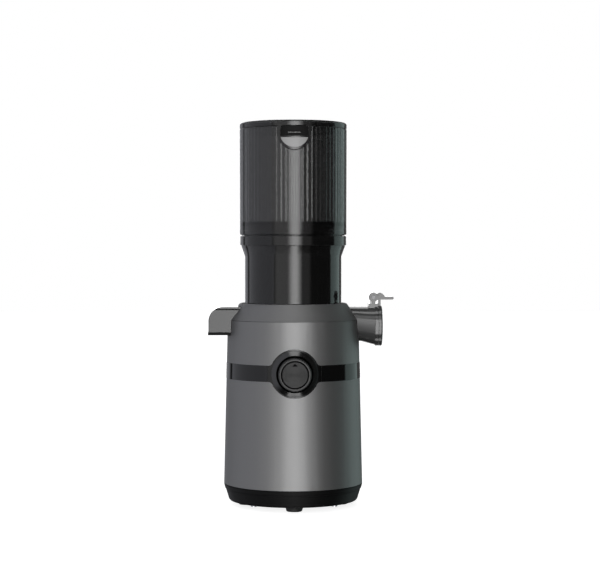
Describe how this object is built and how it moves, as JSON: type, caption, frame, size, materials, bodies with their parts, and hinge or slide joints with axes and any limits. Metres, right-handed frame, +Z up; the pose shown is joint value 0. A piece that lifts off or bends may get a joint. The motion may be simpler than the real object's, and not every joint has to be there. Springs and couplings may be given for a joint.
{
  "type": "cold press juicer",
  "caption": "Upright cold press juicer: motor base with selector knob, lift-off drum with auger, strainer and outlets, and a hopper with a hinged lid.",
  "frame": {"origin": "on the vertical axis of the body and drum, at the surface the feet stand on", "axes": "+Z up; -Y to the front, where the selector knob is; +X to the juice spout"},
  "size_m": [0.222, 0.1833, 0.4573],
  "materials": {
    "body_paint": "satin metallic paint",
    "base_plastic": "fine moulded texture",
    "foot_rubber": "matt",
    "gloss_band": "polished",
    "knob_plastic": "satin",
    "knob_face": "fine spun texture",
    "drum_plastic": "smoked, polished",
    "hopper_plastic": "smoked, polished, fluted inside",
    "lid_plastic": "polished",
    "smoked_plastic": "smoked clear, polished",
    "silicone": "satin",
    "strainer_plastic": "satin",
    "screen_steel": "satin",
    "auger_plastic": "satin",
    "steel": "machined",
    "can_steel": "zinc plated",
    "rotor_steel": "stamped laminations",
    "copper": "enamelled wire and bar",
    "carbon": "pressed carbon",
    "bronze": "sintered",
    "case_alloy": "die cast",
    "inner_plastic": "moulded",
    "gear_plastic": "moulded acetal",
    "board": "glass-fibre board",
    "components": "potted"
  },
  "bodies": {
    "base": {"body_housing": "body_paint", "base_ring": "base_plastic", "bottom_plate": "base_plastic", "feet": "foot_rubber", "band": "gloss_band", "selector_plate": "gloss_band", "knob_bezel": "gloss_band", "selector_switch": "inner_plastic", "switch_nut": "steel", "motor_can": "can_steel", "motor_magnets": "rotor_steel", "motor_end_cap": "inner_plastic", "motor_bearings": "steel", "carbon_brushes": "carbon", "gearbox_case": "case_alloy", "gearbox_cover": "case_alloy", "idler_axle": "steel", "output_bearing": "bronze", "deck": "inner_plastic", "shaft_seal": "silicone", "mount_dampers": "foot_rubber", "control_board": "board", "board_components": "components", "reed_switch": "inner_plastic", "cord_gland": "foot_rubber", "base_screws": "steel", "deck_screws": "steel", "case_screws": "steel"},
    "knob": {"control_knob": "knob_plastic", "knob_insert": "knob_face", "switch_spindle": "steel"},
    "rotor": {"motor_shaft": "steel", "rotor_core": "rotor_steel", "rotor_winding": "copper", "commutator": "copper", "cooling_fan": "inner_plastic", "motor_pinion": "steel"},
    "idler": {"idler_gear": "gear_plastic", "idler_pinion": "steel"},
    "output": {"output_gear": "steel", "output_shaft": "steel"},
    "drum_unit": {"drum": "drum_plastic", "shoulder_ring": "body_paint", "juice_spout": "smoked_plastic", "pulp_chute": "smoked_plastic", "strainer_frame": "strainer_plastic", "strainer_screen": "screen_steel", "hub_seal": "silicone", "interlock_magnet": "rotor_steel", "cap_hinge_pin": "steel"},
    "auger_unit": {"auger": "auger_plastic", "auger_socket": "steel"},
    "cap": {"spout_cap": "smoked_plastic", "cap_seal": "silicone"},
    "hopper_unit": {"hopper": "hopper_plastic", "hopper_gasket": "silicone", "lid_hinge_pin": "steel"},
    "lid_unit": {"lid": "lid_plastic"}
  },
  "joints": [
    {"name": "knob_turn", "type": "hinge", "parent": "base", "child": "knob", "pos_m": [0, -0.0852, 0.1623], "axis": [0, -1, 0], "range_deg": [-45, 45]},
    {"name": "output_spin", "type": "hinge", "parent": "base", "child": "output", "pos_m": [0, 0, 0.15], "axis": [0, 0, 1], "continuous": true},
    {"name": "idler_spin", "type": "hinge", "parent": "base", "child": "idler", "pos_m": [0, 0.03, 0.14], "axis": [0, 0, 1], "continuous": true},
    {"name": "rotor_spin", "type": "hinge", "parent": "base", "child": "rotor", "pos_m": [0, 0, 0.1], "axis": [0, 0, 1], "continuous": true},
    {"name": "drum_lift", "type": "slide", "parent": "base", "child": "drum_unit", "axis": [0, 0, 1], "range_m": [0, 0.09]},
    {"name": "auger_spin", "type": "hinge", "parent": "drum_unit", "child": "auger_unit", "pos_m": [0, 0, 0.2], "axis": [0, 0, 1], "continuous": true},
    {"name": "cap_swing", "type": "hinge", "parent": "drum_unit", "child": "cap", "pos_m": [0.0957, 0, 0.249], "axis": [0, -1, 0], "range_deg": [0, 100]},
    {"name": "hopper_lift", "type": "slide", "parent": "drum_unit", "child": "hopper_unit", "axis": [0, 0, 1], "range_m": [0, 0.05]},
    {"name": "lid_swing", "type": "hinge", "parent": "hopper_unit", "child": "lid_unit", "pos_m": [0, 0.0684, 0.449], "axis": [-1, 0, 0], "range_deg": [0, 108]}
  ],
  "couplings": [
    {"joint": "idler_spin", "follows": "output_spin", "ratio": -4},
    {"joint": "rotor_spin", "follows": "output_spin", "ratio": 20},
    {"joint": "auger_spin", "follows": "output_spin", "ratio": 1}
  ]
}
